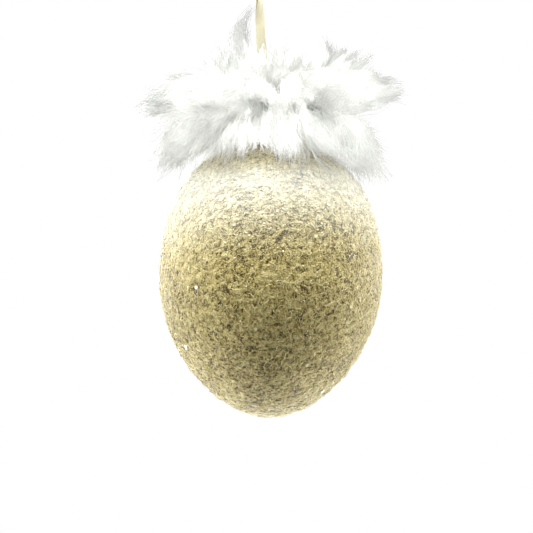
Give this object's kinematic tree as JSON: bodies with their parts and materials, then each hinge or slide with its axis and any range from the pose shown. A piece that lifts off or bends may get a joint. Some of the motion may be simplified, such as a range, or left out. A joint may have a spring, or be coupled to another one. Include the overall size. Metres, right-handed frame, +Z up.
{
  "type": "glass ball ornament",
  "caption": "Hanging egg-shaped glass ball with a sparkling champagne coat, a white down collar round its neck, a crown cap, a wire eye and a cream ribbon loop.",
  "frame": {"origin": "inside top of the ribbon's loop, where a hook bears", "axes": "+Z up along the hanging ribbon, -Y towards the viewer, +X to the right"},
  "size_m": [0.0834, 0.0761, 0.183],
  "materials": {
    "ribbon": "cream satin with a fine weave and woven edges",
    "cap_metal": "thin stamped sheet, gold lacquer",
    "wire": "bright drawn spring wire",
    "glass": "thin blown glass",
    "coat": "felted champagne coat of fine glass grains and short fibres, with sparkles",
    "flakes": "thin pearly flakes",
    "glue": "clear set glue",
    "cord": "twisted white cotton",
    "down": "white down barbs, fine, soft and slightly see-through"
  },
  "bodies": {
    "ribbon": {"ribbon_upper": "ribbon"},
    "lower_ribbon": {"ribbon_lower": "ribbon", "ribbon_knot": "ribbon"},
    "cap": {"crown_cap": "cap_metal", "hanger_wire": "wire"},
    "ball": {"glass_bowl": "glass", "glass_dome": "glass", "neck_tube": "glass", "glitter_coat": "coat", "coat_flakes": "flakes", "glue_bead": "glue", "plume_cord": "cord", "upper_plume_1": "down", "upper_plume_2": "down", "upper_plume_3": "down", "upper_plume_4": "down", "upper_plume_5": "down", "upper_plume_6": "down", "upper_plume_7": "down", "upper_plume_8": "down", "lower_plume_1": "down", "lower_plume_2": "down", "lower_plume_3": "down", "lower_plume_4": "down", "lower_plume_5": "down", "lower_plume_6": "down", "lower_plume_7": "down", "lower_plume_8": "down"}
  },
  "joints": [
    {"name": "ribbon_twist", "type": "hinge", "parent": "ribbon", "child": "lower_ribbon", "pos_m": [0, 0, -0.032], "axis": [0, 0, 1], "range_deg": [-180, 180], "stiffness_Nm_per_rad": 0.00005},
    {"name": "ball_swing", "type": "hinge", "parent": "lower_ribbon", "child": "cap", "pos_m": [0, 0, -0.069], "axis": [1, 0, 0], "range_deg": [-30, 30]},
    {"name": "cap_pull", "type": "slide", "parent": "cap", "child": "ball", "axis": [-0.0645, 0, -0.9979], "range_m": [0, 0.018]}
  ]
}
